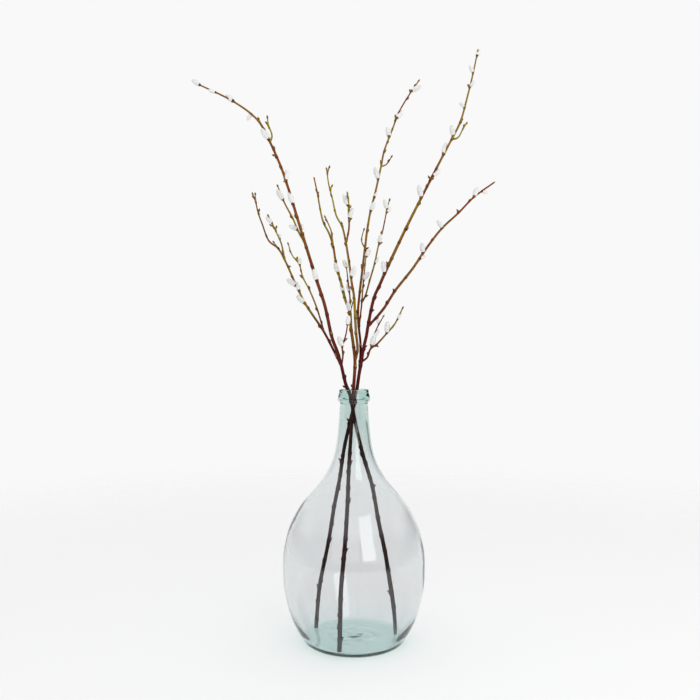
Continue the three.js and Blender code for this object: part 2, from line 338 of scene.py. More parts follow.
@dataclass(frozen=True)
class DownFinish:
    """Silky white down with painted shade: greyer far down between the hairs, at the core and the hair
    roots, and grey in random patches.
    """

    name: str = "catkin_down"
    shade_and_patch_grey: Tint = (0.74, 0.74, 0.73)
    silk: Tint = (0.955, 0.955, 0.95)
    patch_scale: float = 260.0
    patch_edges: Pair = (0.1, 0.5)
    tuft_scale: float = 2200.0
    tuft_height: float = 0.0002
    roughness: float = 0.85
    sheen: float = 0.6
    sheen_roughness: float = 0.4

    def material(self) -> Skin:
        """Returns the down as a material."""
        graph, material = Graph.of_material(self.name)
        place = graph.place()
        patch = graph.noise(place, self.patch_scale, 2.0)
        # Painted shade: the down turns grey towards the core and the hair roots, by silk; random patches are
        # grey too.
        tip = graph.times(graph.attribute("silk"), graph.ranged(patch, *self.patch_edges))
        tufts = graph.noise(place, self.tuft_scale, 2.0)
        graph.principled(
            {
                "Base Color": graph.mixed(tip, self.shade_and_patch_grey, self.silk),
                "Roughness": self.roughness,
                "Sheen Weight": self.sheen,
                "Sheen Roughness": self.sheen_roughness,
                "Normal": graph.bump(tufts, 0.3, self.tuft_height),
            },
        )
        return material


@dataclass(frozen=True)
class GlassFinish:
    """Clear recycled glass: pale where it is thin, blue-green where it is thick, faintly wavy."""

    name: str = "vase_glass"
    refraction: float = 1.5
    roughness: float = 0.0
    tint: Tint = (0.935, 0.92, 0.93)
    neck_tint: Tint = (0.80, 0.872, 0.85)
    neck_heights: Pair = (0.33, 0.50)
    stain: Tint = (0.0, 0.56, 0.49)
    stain_density: float = 23.0
    wave_scale: Triple = (7.0, 7.0, 16.0)
    ripple_scale: Triple = (26.0, 26.0, 60.0)
    ripple_share: float = 0.18
    wave_height: float = 0.0012

    def material(self) -> Skin:
        """Returns the glass as a material that lets lamplight through to what stands inside."""
        graph, material = Graph.of_material(self.name)
        place = graph.place()
        waves = graph.noise(graph.stretched(place, self.wave_scale), 1.0, 1.0)
        ripples = graph.noise(graph.stretched(place, self.ripple_scale), 1.0, 2.0)
        height = graph.plus(waves, graph.times(ripples, self.ripple_share))
        up = graph.add("SeparateXYZ", {0: place}).outputs["Z"]
        tint = graph.mixed(graph.ranged(up, *self.neck_heights), self.tint, self.neck_tint)
        glass = graph.add(
            "BsdfPrincipled",
            {
                "Base Color": tint,
                "Roughness": self.roughness,
                "IOR": self.refraction,
                "Transmission Weight": 1.0,
                "Normal": graph.bump(height, 0.5, self.wave_height),
            },
        )
        clear = graph.add("BsdfTransparent")
        path = graph.add("LightPath")
        shader = graph.layered(path.outputs["Is Diffuse Ray"], glass, clear)
        shader = graph.layered(path.outputs["Is Shadow Ray"], shader, clear)
        stain = graph.add("VolumeAbsorption", {"Color": (*self.stain, 1.0), "Density": self.stain_density})
        graph.add("OutputMaterial", {"Surface": shader.outputs[0], "Volume": stain.outputs[0]})
        return material


class Slot(Enum):
    """The record's material slots."""

    GLASS = "vase_glass"
    BARK = "willow_bark"
    DOWN = "catkin_down"


def piece(name: str, shape: Shape, skin: Skin, node: str) -> bpy.types.Object:
    """Turns a finished shape into a piece that stands for a CAD node.

    Args:
        name: the piece's name.
        shape: its shape in metres, in the row frame; it is freed here.
        skin: its material.
        node: the CAD node that it replaces.

    Returns:
        The piece.
    """
    mesh = meshed(name, shape)
    mesh.materials.append(skin)
    made = linked(name, mesh)
    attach(made, "root")
    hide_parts(node)
    LOG.info("%s: %d faces, stands for %s", name, len(mesh.polygons), node)
    return made


def smoothed(shape: Shape) -> Shape:
    """Returns a shape with all its faces shaded smooth."""
    for face in shape.faces:
        face.smooth = True
    return shape


def join(whole: Shape, part: Shape) -> None:
    """Adds a part, which is freed here, to a whole."""
    carrier = meshed("part", part)
    whole.from_mesh(carrier)
    bpy.data.meshes.remove(carrier)


class StemPath:
    """A smooth route through given points, measured along its length."""

    SAMPLES = 16
    TANGENT_REACH = 0.002

    def __init__(self, points: list[Vector]) -> None:
        """Samples the centripetal curve through the points."""
        ends = [points[0] * 2 - points[1], *points, points[-1] * 2 - points[-2]]
        self.samples: list[Vector] = []
        for before, start, end, after in zip(ends, ends[1:], ends[2:], ends[3:]):
            self.samples += self._stretch(before, start, end, after)
        self.samples.append(points[-1])
        self.lengths = [0.0]
        for here, there in zip(self.samples, self.samples[1:]):
            self.lengths.append(self.lengths[-1] + (there - here).length)
        self.length = self.lengths[-1]

    def _stretch(self, before: Vector, start: Vector, end: Vector, after: Vector) -> list[Vector]:
        """Returns the samples from start up to, and not including, end."""
        gaps = [max((b - a).length ** 0.5, 1e-6) for a, b in ((before, start), (start, end), (end, after))]
        leave = (start - before) / gaps[0] - (end - before) / (gaps[0] + gaps[1]) + (end - start) / gaps[1]
        reach = (end - start) / gaps[1] - (after - start) / (gaps[1] + gaps[2]) + (after - end) / gaps[2]
        leave, reach = leave * gaps[1], reach * gaps[1]
        square = (end - start) * 3 - leave * 2 - reach
        cube = (start - end) * 2 + leave + reach
        steps = (i / self.SAMPLES for i in range(self.SAMPLES))
        return [start + leave * t + square * t * t + cube * t * t * t for t in steps]

    def point(self, share: float) -> Vector:
        """Returns the point at a share of the length."""
        goal = min(max(share, 0.0), 1.0) * self.length
        low, high = 0, len(self.lengths) - 1
        while high - low > 1:
            middle = (low + high) // 2
            low, high = (middle, high) if self.lengths[middle] <= goal else (low, middle)
        gap = self.lengths[high] - self.lengths[low]
        return self.samples[low].lerp(self.samples[high], (goal - self.lengths[low]) / max(gap, 1e-9))

    def tangent(self, share: float) -> Vector:
        """Returns the direction at a share of the length."""
        reach = self.TANGENT_REACH / self.length
        return (self.point(share + reach) - self.point(share - reach)).normalized()

    def frames(self, count: int) -> list[tuple[Vector, Vector, Vector]]:
        """Returns count + 1 evenly spaced places with two directions across the route that don't twist.

        Args:
            count: how many gaps the places leave between them.

        Returns:
            For each place its point, its first and its second direction across.
        """
        along = self.tangent(0.0)
        across = along.orthogonal().normalized()
        made = []
        for share in shares(count):
            turned = self.tangent(share)
            across = along.rotation_difference(turned) @ across
            along = turned
            made.append((self.point(share), across.copy(), along.cross(across)))
        return made


@dataclass
class Stem:
    """One stem of a spray, from where it starts to its tip, with what grows on it.

    radii are at its root and tip, the route is a list of points, and spurs and catkins are
    (share of its length, dx, dy, dz) from its core to their own tips, all in millimetres. olive is
    how much of its upper bark is olive, from 0 to 1.
    """

    radii: Pair
    route: list[Triple]
    spurs: list[Growth] = field(default_factory=list)
    catkins: list[Growth] = field(default_factory=list)
    olive: float = 0.9

    def path(self) -> StemPath:
        """Returns the stem's route in metres."""
        return StemPath([Vector(p) * MM for p in self.route])

    def ends_in_catkin(self) -> bool:
        """Returns whether a catkin sits on the stem's very tip."""
        return any(share == 1 for share, *_ in self.catkins)


@dataclass
class Node:
    """A swollen place on a stem.

    It has its distance from the root, the way and the fullness of its bulge, and whether a bud sits on it.
    """

    place: float
    way: Vector
    has_bud: bool


@dataclass
class Limb:
    """A stem or a short spur as it goes into the wood.

    radii are at its root and tip in millimetres, ages are the bark's age values there, olive is how
    much of its upper bark is olive, and tip is what its last end narrows to as a share.
    """

    path: StemPath
    radii: Pair
    ages: Pair
    olive: float
    is_side: bool = True
    nodes: list[Node] = field(default_factory=list)
    tip: float = 0.2


class BarkWood:
    """The wood of a spray: its stems and short spurs with swollen nodes, in one mesh.

    Lengths are in metres, but THICK, the radius from which a limb has more sides, is in millimetres.
    Young wood, from the age FRESH_FROM on, is fuller. The shifts give each limb its own patch of
    grain and pattern.
    """

    RING_STEP = 0.0024
    STEM_SIDES = 14
    TWIG_SIDES = 10
    THICK = 2.0
    FRESH_FROM = 0.46
    FRESH_OVER = 0.2
    FRESH_GIRTH = 1.12
    TAPER = 1.6
    SWELL = 0.14
    SWELL_WIDTH = 0.0030
    BULGE = 0.0009
    SCAR_WIDTH = 0.0013
    NODE_REACH = 0.012
    COLLAR = 0.28
    COLLAR_PLACE = 0.005
    RELIEF = 0.045
    ROOT_NECK = 0.55
    TIP_LENGTH = 0.006
    TIP_SHARE = 0.2
    GRAIN = (260, 260, 45)
    GRAIN_SHIFT = 90
    PATTERN_SHIFT = 700
    FLOOR_GAP = 0.3 * MM
    BARK_DEPTH = 0.0006
    CUT_EDGE = 0.0002

    def __init__(self, floor: float) -> None:
        """Starts an empty mesh whose stems are cut level just above the vase floor."""
        self.shape = bmesh.new()
        self.cut = self._layers(self.shape)["cut"]
        self.floor = floor

    def rod(self, limb: Limb) -> None:
        """Adds one stem or spur."""
        path = limb.path
        sides = self.STEM_SIDES if limb.radii[0] > self.THICK else self.TWIG_SIDES
        rings = max(math.ceil(path.length / self.RING_STEP), 3)
        rod = bmesh.new()
        layers = self._layers(rod)
        bmesh.ops.create_cone(rod, cap_ends=True, segments=sides, radius1=1.0, radius2=1.0, depth=1.0)
        uprights = [e for e in rod.edges if abs(e.verts[0].co.z - e.verts[1].co.z) > 0.5]
        bmesh.ops.subdivide_edges(rod, edges=uprights, cuts=rings - 1)
        frames = path.frames(rings)
        profile = [self._girth(limb, share) for share in shares(rings)]
        for vert in rod.verts:
            ring = round((vert.co.z + 0.5) * rings)
            centre, across, beside = frames[ring]
            radius, darkness, bulge = profile[ring]
            along = ring / rings * path.length
            way = across * vert.co.x + beside * vert.co.y
            local = Vector((vert.co.x * radius, vert.co.y * radius, along))
            rough = noise.noise(local * Vector(self.GRAIN) + path.point(0.0) * self.GRAIN_SHIFT)
            vert[layers["bark_place"]] = local / MM + path.point(0.0) * self.PATTERN_SHIFT
            vert[layers["age"]] = blend(*limb.ages, ring / rings)
            vert[layers["olive"]] = limb.olive
            vert[layers["node"]] = darkness
            reach = radius * (1 + self.RELIEF * rough) + self.BULGE * max(way.dot(bulge), 0.0)
            vert.co = centre + way * reach
        join(self.shape, rod)

    @staticmethod
    def _layers(shape: Shape) -> dict[str, bmesh.types.BMLayerItem]:
        """Returns the bark's attributes, new in an empty mesh."""
        layers = shape.verts.layers
        made = {"bark_place": layers.float_vector.new("bark_place")}
        return made | {name: layers.float.new(name) for name in ("age", "olive", "node", "cut")}

    def _girth(self, limb: Limb, share: float) -> tuple[float, float, Vector]:
        """Returns the radius in metres, the darkness and the bulge at a share of a limb's length."""
        length = limb.path.length
        along = share * length
        fresh = min(max((blend(*limb.ages, share) - self.FRESH_FROM) / self.FRESH_OVER, 0.0), 1.0)
        radius = blend(*limb.radii, share**self.TAPER) * MM * blend(1.0, self.FRESH_GIRTH, fresh)
        near = [n for n in limb.nodes if abs(along - n.place) < self.NODE_REACH]
        swell = sum(bell(along - n.place, self.SWELL_WIDTH) for n in near)
        scar = sum(bell(along - n.place + self.SCAR_WIDTH, self.SCAR_WIDTH) for n in near)
        bulge = sum((n.way * bell(along - n.place, self.SWELL_WIDTH) for n in near), Vector())
        girth = 1 + self.SWELL * min(swell, 1.0)
        if limb.is_side:
            girth += self.COLLAR * bell(along - self.COLLAR_PLACE, self.COLLAR_PLACE)
            girth *= min(self.ROOT_NECK + along / self.COLLAR_PLACE, 1.0)
        end = min((length - along) / min(self.TIP_LENGTH, length * self.TIP_SHARE), 1.0)
        return radius * girth * blend(limb.tip, 1.0, end), min(scar, 1.0), bulge

    def cut_level(self) -> None:
        """Cuts the stems level just above the vase floor and marks the bare wood inside the bark."""
        geometry = self.shape.verts[:] + self.shape.edges[:] + self.shape.faces[:]
        plane = Vector((0, 0, self.floor + self.FLOOR_GAP))
        down = (0, 0, -1)
        bmesh.ops.bisect_plane(self.shape, geom=geometry, plane_co=plane, plane_no=down, clear_outer=True)
        rims = [e for e in self.shape.edges if e.is_boundary]
        capped = bmesh.ops.holes_fill(self.shape, edges=rims)["faces"]
        for depth in (self.BARK_DEPTH, self.CUT_EDGE):
            bmesh.ops.inset_region(self.shape, faces=capped, thickness=depth, use_even_offset=True)
        for face in capped:
            for vert in face.verts:
                vert[self.cut] = 1.0


class Buds:
    """The leaf buds of a spray and the scales that hold its catkins, in one mesh.

    Lengths are in metres. A lift is how far the middle of a shape is above its root, in half lengths,
    and a root tone is the share of its tone that it has down there.
    """

    RADIUS = 0.0017
    LENGTH = 0.0064
    TAPER = 0.38
    POINT = 0.75
    POINT_FROM = 0.5
    BEND = 0.9
    LIFT = 0.8
    ROOT_TONE = 0.4
    HOOD_RADIUS = 0.0037
    HOOD_LENGTH = 0.0105
    HOOD_TAPER = 0.12
    HOOD_LIFT = 0.78
    HOOD_ROOT_TONE = 0.35
    HOOD_RIM = 0.42
    HOOD_SLANT = 0.9
    HOOD_THICKNESS = 0.00035

    def __init__(self) -> None:
        """Starts an empty mesh."""
        self.shape = bmesh.new()
        self.tone = self.shape.verts.layers.float.new("tone")

    def bud(self, root: Vector, along: Vector, side: Vector, size: float, tone: float, lean: float) -> None:
        """Adds a pointed bud that leans off a stem.

        Args:
            root: where it sits.
            along: the stem's direction.
            side: the direction away from the stem.
            size: its size as a share of the usual one.
            tone: its colour, from 0 for red-brown to 1 for olive.
            lean: how far it leans outwards, from 0 to 1.
        """
        made = bmesh.ops.create_uvsphere(self.shape, u_segments=8, v_segments=7, radius=1.0)["verts"]
        for vert in made:
            x, y, z = vert.co
            girth = self.RADIUS * (1 - self.TAPER * z) * (self.POINT if z > self.POINT_FROM else 1.0)
            bend = -self.BEND * lean * self.LENGTH * ((z + 1) / 2) ** 2
            vert.co = Vector((x * girth + bend, y * girth, (z + self.LIFT) * self.LENGTH / 2)) * size
            vert[self.tone] = tone * blend(self.ROOT_TONE, 1.0, (z + 1) / 2)
        axis = (along * (1 - lean) + side * lean).normalized()
        out = (side - axis * side.dot(axis)).normalized()
        place = Matrix.Translation(root) @ standing(axis, out)
        bmesh.ops.transform(self.shape, matrix=place, verts=made)

    def hood(self, place: Matrix, size: float, tone: float) -> None:
        """Adds the slanted cup that a catkin broke out of.

        Args:
            place: the catkin's place, with its root at the origin and its tip on +Z.
            size: its size as a share of the usual one.
            tone: its colour, from 0 for red-brown to 1 for olive.
        """
        made = bmesh.ops.create_uvsphere(self.shape, u_segments=12, v_segments=10, radius=1.0)["verts"]
        for vert in made:
            x, y, z = vert.co
            girth = self.HOOD_RADIUS * (1 - self.HOOD_TAPER * z)
            rise = (z + self.HOOD_LIFT) * self.HOOD_LENGTH / 2
            vert.co = Vector((x * girth, y * girth, rise)) * size
            vert[self.tone] = tone * blend(self.HOOD_ROOT_TONE, 1.0, (z + 1) / 2)
        faces = {f for v in made for f in v.link_faces}
        edges = {e for v in made for e in v.link_edges}
        rim = Vector((0, 0, self.HOOD_LENGTH * self.HOOD_RIM * size))
        slant = Vector((self.HOOD_SLANT, 0, 1)).normalized()
        kept = bmesh.ops.bisect_plane(
            self.shape, geom=[*made, *edges, *faces], plane_co=rim, plane_no=slant, clear_outer=True
        )["geom"]
        shell = [g for g in kept if g.is_valid and isinstance(g, bmesh.types.BMFace)]
        before = set(self.shape.verts)
        bmesh.ops.solidify(self.shape, geom=shell, thickness=-self.HOOD_THICKNESS * size)
        verts = {v for f in shell if f.is_valid for v in f.verts} | (set(self.shape.verts) - before)
        bmesh.ops.transform(self.shape, matrix=place, verts=list(verts))


class Down:
    """The catkins of a spray: silky eggs of fine hairs, in one mesh.

    Lengths are in metres. The pairs are the ends of what a hair's value is drawn from or runs
    through, and silk is how pale the down is; the core and the hair roots get less of it, which is
    painted shade low between the hairs.
    """

    LENGTH = 0.0246
    WIDTH = 0.0114
    ROOT = 0.0012
    TAPER = 0.12
    CORE = 0.88
    CORE_LENGTH = 0.9
    CORE_SINK = 0.6
    HAIRS = 1200
    QUICK_HAIRS = 160
    HAIR_LENGTH = 0.0036
    HAIR_RADIUS = 0.00011
    HAIR_HEIGHTS = (-0.82, 0.96)
    HAIR_ROOT = 0.96
    HAIR_OUT = (0.30, 0.62)
    HAIR_RISE = (0.75, 1.6)
    HAIR_STRAY = 0.14
    HAIR_TURN = 0.2
    HAIR_SIZES = (0.65, 1.0)
    HAIR_TIP_SIZE = 0.62
    CORE_BUMP = 0.05
    # The core and the hair roots get less silk: painted shade low between the hairs.
    CORE_SILK = 0.35
    ROOT_SILK = 0.6
    KINDS = 3

    def __init__(self, seed: int) -> None:
        """Starts an empty mesh and makes the kinds of catkin that are copied into it."""
        self.shape = bmesh.new()
        self.shape.verts.layers.float.new("silk")
        self.draw = random.Random(seed)
        self.kinds = [self._kind(random.Random(seed * 31 + i)) for i in range(self.KINDS)]

    def _egg(self, height: float, angle: float, share: float) -> Vector:
        """Returns a point on the egg, at a height from -1 to 1, at a share of its full girth."""
        half = (self.LENGTH + self.ROOT) / 2
        girth = self.WIDTH / 2 * math.sqrt(max(1 - height * height, 0.0)) * (1 - self.TAPER * height) * share
        sink = half * (1 - self.CORE_LENGTH) * self.CORE_SINK
        rise = half * (1 + height * self.CORE_LENGTH) - self.ROOT - sink
        return Vector((math.cos(angle) * girth, math.sin(angle) * girth, rise))

    def _kind(self, draw: random.Random) -> bpy.types.Mesh:
        """Returns one catkin as a mesh with its root at the origin and its tip on +Z."""
        shape = bmesh.new()
        silk = shape.verts.layers.float.new("silk")
        for vert in bmesh.ops.create_uvsphere(shape, u_segments=18, v_segments=14, radius=1.0)["verts"]:
            angle = math.atan2(vert.co.y, vert.co.x)
            bump = 1 + self.CORE_BUMP * noise.noise(vert.co * 3 + Vector((draw.random(), 0, 0)))
            vert.co = self._egg(vert.co.z, angle, self.CORE * bump)
            vert[silk] = self.CORE_SILK
        smoothed(shape)
        hairs = self.HAIRS
        for i in range(hairs):
            height = blend(*self.HAIR_HEIGHTS, (i + 0.5) / hairs)
            angle = i * GOLDEN_ANGLE + draw.uniform(-self.HAIR_TURN, self.HAIR_TURN)
            root = self._egg(height, angle, self.CORE * self.HAIR_ROOT)
            out = Vector((math.cos(angle), math.sin(angle), 0))
            rise = blend(*self.HAIR_RISE, (height + 1) / 2)
            way = (out * draw.uniform(*self.HAIR_OUT) + Vector((0, 0, rise))).normalized()
            stray = Vector([draw.uniform(-self.HAIR_STRAY, self.HAIR_STRAY) for _ in range(3)])
            way = (way + stray).normalized()
            reach = self.HAIR_LENGTH * draw.uniform(*self.HAIR_SIZES)
            reach *= blend(1.0, self.HAIR_TIP_SIZE, max(height, 0.0))
            turn = way.to_track_quat("Z", "Y").to_matrix().to_4x4()
            place = Matrix.Translation(root + way * reach / 2) @ turn
            made = bmesh.ops.create_cone(
                shape, cap_ends=True, segments=3, radius1=self.HAIR_RADIUS, radius2=0.0, depth=reach,
                matrix=place,
            )["verts"]
            for vert in made:
                vert[silk] = blend(self.ROOT_SILK, 1.0, min((vert.co - root).length / reach, 1.0))
        bmesh.ops.remove_doubles(shape, verts=shape.verts[:], dist=WELD)
        return meshed("catkin_kind", shape)

    def catkin(self, place: Matrix, length: float, width: float) -> None:
        """Adds a copy of a catkin.

        Args:
            place: where its root and its tip on +Z go.
            length: its length in metres.
            width: its width in metres.
        """
        count = len(self.shape.verts)
        self.shape.from_mesh(self.draw.choice(self.kinds))
        self.shape.verts.ensure_lookup_table()
        made = self.shape.verts[count:]
        girth = width / self.WIDTH
        size = Matrix.Diagonal((girth, girth, length / self.LENGTH, 1.0))
        spin = Matrix.Rotation(self.draw.uniform(0, math.tau), 4, "Z")
        bmesh.ops.transform(self.shape, matrix=place @ size @ spin, verts=made)


@dataclass
class Growing:
    """A spray's three meshes while it grows, with its random draws."""

    wood: BarkWood
    buds: Buds
    fluff: Down
    draw: random.Random


@dataclass
class Spray:
    """One willow spray, which replaces one CAD branch with its wood, its buds and its catkins.

    Lengths and radii are in millimetres. A knob is how full the bulge is where something grows, and
    bud_seat says where a spur's wood ends and its bud starts, in bud lengths below its tip.
    """

    node: str
    seed: int
    stems: list[Stem]
    bud_spacing: Pair = (28.0, 46.0)
    clear_of_growth: float = 11.0
    neck_heights: Pair = (395.0, 512.0)
    foot_age: float = 0.0
    tip_age: float = 0.4
    # Spur buds below this age, inside the vase, get the darkest tone: painted shade.
    vase_shade_age: float = 0.42
    slimness: float = 0.46
    widths: Pair = (7.5, 11.4)
    bare_tip: float = 0.2
    held_tip: float = 1.0
    spur_radii: Pair = (1.5, 1.0)
    stub_radii: Pair = (2.6, 1.7)
    spur_knob: float = 1.8
    catkin_knob: float = 1.3
    fluff_share: float = 0.965
    shortest_spur: float = 9.0
    spur_knee: Pair = (0.35, 0.06)
    spur_ageing: float = 0.15
    spur_tones: Pair = (0.6, 1.6)
    stub_reach: Pair = (0.3, 0.6)
    bud_seat: Pair = (0.8, 1.05)
    bud_most: float = 0.8
    spur_bud: float = 1.15
    stub_bud: float = 1.38
    small_bud: Pair = (0.75, 1.1)
    bud_lean: float = 0.24
    end_bud: float = 1.1
    end_tones: Pair = (0.4, 1.0)
    hood_fit: Pair = (0.9, 1.05)
    sideways: float = 0.05
    first_spacing: float = 0.6

    def nodes(self, stem: Stem, path: StemPath, draw: random.Random) -> list[Node]:
        """Returns a stem's nodes: where its spurs and catkins grow, and the small buds between them."""
        made = []
        for growths, fullness in ((stem.spurs, self.spur_knob), (stem.catkins, self.catkin_knob)):
            for share, *reach in (g for g in growths if g[0] < 1):
                way = self._away(path, share, Vector(reach)) * fullness
                made.append(Node(share * path.length, way, False))
        grown = [node.place for node in made]
        place = draw.uniform(*self.bud_spacing) * MM * self.first_spacing
        turn = draw.uniform(0, math.tau)
        while place < path.length - self.clear_of_growth * MM:
            share = place / path.length
            height = path.point(share).z / MM
            along = path.tangent(share)
            way = Matrix.Rotation(turn, 3, along) @ along.orthogonal().normalized()
            free = all(abs(place - g) > self.clear_of_growth * MM for g in grown)
            if free and not self.neck_heights[0] < height < self.neck_heights[1]:
                made.append(Node(place, way, height > self.neck_heights[1]))
            place += draw.uniform(*self.bud_spacing) * MM
            turn += GOLDEN_ANGLE
        return made

    @staticmethod
    def _away(path: StemPath, share: float, reach: Vector) -> Vector:
        """Returns the direction off the stem towards which something grows."""
        along = path.tangent(share)
        across = reach - along * reach.dot(along)
        return across.normalized() if across.length > WELD else along.orthogonal().normalized()

    def build(self, floor: float, bark: Skin, skin: Skin, down: Skin) -> None:
        """Makes the spray's three pieces.

        Args:
            floor: the height of the vase floor.
            bark: the material of the wood.
            skin: the material of buds and scales.
            down: the material of the catkins.
        """
        grown = Growing(BarkWood(floor), Buds(), Down(self.seed), random.Random(self.seed))
        top = max(p[2] for stem in self.stems for p in stem.route)
        for number, stem in enumerate(self.stems):
            path = stem.path()
            nodes = self.nodes(stem, path, grown.draw)
            root_age = self.foot_age if number == 0 else stem.route[0][2] / top
            ages = (root_age, blend(self.tip_age, 1.0, stem.route[-1][2] / top))
            tip = self.held_tip if stem.ends_in_catkin() else self.bare_tip
            grown.wood.rod(Limb(path, stem.radii, ages, stem.olive, number > 0, nodes, tip))
            self._add_buds(stem, path, nodes, grown)
            for share, *reach in stem.spurs:
                self._add_spur(path, share, Vector(reach) * MM, blend(*ages, share), grown)
            for share, *reach in stem.catkins:
                self._add_catkin(path, share, Vector(reach) * MM, grown)
        grown.wood.cut_level()
        name = self.node.replace("branch_", "")
        piece(name + "_stems", smoothed(grown.wood.shape), bark, self.node)
        piece(name + "_buds", smoothed(grown.buds.shape), skin, self.node)
        piece(name + "_catkins", grown.fluff.shape, down, self.node)

    def _add_buds(self, stem: Stem, path: StemPath, nodes: list[Node], grown: Growing) -> None:
        """Adds the small buds at a stem's nodes, and the one at its tip."""
        buds, draw = grown.buds, grown.draw
        for node in (n for n in nodes if n.has_bud):
            share = node.place / path.length
            radius = blend(*stem.radii, share**BarkWood.TAPER) * MM
            root = path.point(share) + node.way * (radius + BarkWood.BULGE * 0.5)
            size = draw.uniform(*self.small_bud)
            buds.bud(root, path.tangent(share), node.way, size, draw.random(), self.bud_lean)
        if not stem.ends_in_catkin():
            along = path.tangent(1.0)
            root = path.point(1.0) - along * Buds.LENGTH
            side = along.orthogonal().normalized()
            buds.bud(root, along, side, self.end_bud, draw.uniform(*self.end_tones), 0.0)

    def _add_spur(self, path: StemPath, share: float, reach: Vector, age: float, grown: Growing) -> None:
        """Adds a short side shoot with a bud at its end, or a fat bud where it is very short.

        Args:
            path: the stem's route.
            share: the share of the stem's length at which it grows.
            reach: from the stem's core to its tip, in metres.
            age: the bark's age there.
            grown: what the spray has grown so far.
        """
        root, along = path.point(share), path.tangent(share)
        way = reach.normalized()
        bud = min(Buds.LENGTH, reach.length * self.bud_most)
        if reach.length > self.shortest_spur * MM:
            size = self.spur_bud
            knee = root + reach * self.spur_knee[0] + along * reach.length * self.spur_knee[1]
            shoot = StemPath([root, knee, root + way * (reach.length - bud * self.bud_seat[0])])
            grown.wood.rod(Limb(shoot, self.spur_radii, (age, min(age + self.spur_ageing, 1.0)), age))
        else:
            size = self.stub_bud
            stub = StemPath([root, *(root + reach * part for part in self.stub_reach)])
            grown.wood.rod(Limb(stub, self.stub_radii, (age, age), age))
        tip = root + way * (reach.length - bud * self.bud_seat[1])
        # Painted shade: spur buds low on the stem, inside the vase, get the darkest tone.
        tone = max(age - self.vase_shade_age, 0.0) * grown.draw.uniform(*self.spur_tones)
        grown.buds.bud(tip, way, way.orthogonal().normalized(), size * bud / Buds.LENGTH, tone, 0.0)

    def _add_catkin(self, path: StemPath, share: float, reach: Vector, grown: Growing) -> None:
        """Adds a catkin with the scale that holds it on the side away from the stem.

        Args:
            path: the stem's route.
            share: the share of the stem's length at which it grows.
            reach: from the stem's core to its tip, in metres.
            grown: what the spray has grown so far.
        """
        root, along = path.point(share), path.tangent(share)
        axis = reach.normalized()
        out = axis - along * axis.dot(along)
        out = (out - axis * out.dot(axis)) if out.length > self.sideways else axis.orthogonal()
        out.normalize()
        place = Matrix.Translation(root) @ standing(axis, -out)
        length = reach.length * self.fluff_share
        width = min(max(length * self.slimness, self.widths[0] * MM), self.widths[1] * MM)
        grown.fluff.catkin(place, length, width)
        size = width / Down.WIDTH * grown.draw.uniform(*self.hood_fit)
        grown.buds.hood(place, size, grown.draw.random())


LEFT = Spray("branch_left", 11, [
    Stem(
        (4.2, 1.3),
        [
            (86, -9, 3), (74, -10, 98), (63, -11, 172), (48, -13, 241), (36, -14, 309), (17, -15, 373),
            (3, -15, 433), (-8, -13, 488), (-17, -14, 513), (-25, -18, 547), (-33, -24, 575),
            (-43, -31, 602), (-57, -44, 665), (-73, -52, 715), (-94, -62, 783), (-106, -68, 822),
            (-126, -78, 888), (-139, -82, 926), (-159, -88, 971), (-178, -87, 1007), (-196, -86, 1026),
            (-228, -82, 1049), (-253, -80, 1063), (-294, -72, 1084),
        ],
        [
            (0.079, -9, -3, 6), (0.26, 8, 4, 3), (0.316, -6, -2, 4), (0.427, -11, 2, 8),
            (0.782, -4, -4, -3), (0.822, -10, 2, 5), (0.87, -12, 4, 25),
        ],
        [
            (0.616, -7, -6, 24), (0.694, -1, 7, 22), (0.744, -9, -3, 25), (0.782, 3, 5, 25),
            (0.852, -15, -8, 20), (0.902, -9, 4, -13), (0.938, -16, 8, 17), (0.971, -14, -5, 3),
            (1, -18, 2, 12),
        ],
        olive=0.25,
    ),
    Stem(
        (1.7, 1.1),
        [(-94, -62, 783), (-107, -55, 806), (-119, -46, 834), (-135, -42, 864), (-151, -37, 903)],
        catkins=[(0.246, -18, -7, 8), (0.743, -13, -6, 21)],
    ),
    Stem(
        (1.5, 1),
        [(-159, -88, 971), (-155, -93, 982), (-161, -99, 1001), (-163, -104, 1018)],
        [(0.559, -8, 4, 13)],
    ),
    Stem(
        (2.3, 1.1),
        [
            (-25, -18, 547), (-40, -18, 577), (-60, -8, 615), (-98, 8, 672), (-116, 18, 708),
            (-141, 30, 762), (-155, 36, 786), (-174, 40, 802), (-189, 46, 839), (-197, 50, 860),
            (-203, 52, 884), (-211, 55, 906),
        ],
        [(0.563, 6, -2, 1), (0.67, -12, 2, 17), (0.883, 3, -4, 11), (0.942, -2, 8, 23)],
        [(0.357, -20, 7, 18), (0.427, -6, 5, 21), (0.457, -22, -3, 15)],
    ),
    Stem(
        (1.6, 1),
        [(-141, 30, 762), (-147, 18, 794), (-158, 10, 819), (-165, 5, 835), (-174, 1, 851)],
        [(0.635, 3, 2, 11), (0.698, -10, -4, 6)],
        [(0.448, 1, 4, 12), (0.793, -13, -8, 12)],
    ),
    Stem(
        (1.6, 1),
        [
            (-60, -8, 615), (-73, -20, 660), (-88, -19, 697), (-101, -18, 722), (-109, -12, 749),
            (-123, -7, 767), (-133, 0, 795),
        ],
        [(0.586, -6, -4, 4), (0.782, 3, 2, 7)],
        [(0.717, 1, 8, 17)],
    ),
    Stem(
        (1.6, 1.1),
        [(-25, -18, 547), (-22, -24, 567), (-23, -28, 584), (-16, -32, 609), (-13, -34, 627)],
        [(0.643, 6, 2, 3)],
        [(0.48, -9, -5, 22), (1, 3, 2, 21)],
    ),
])

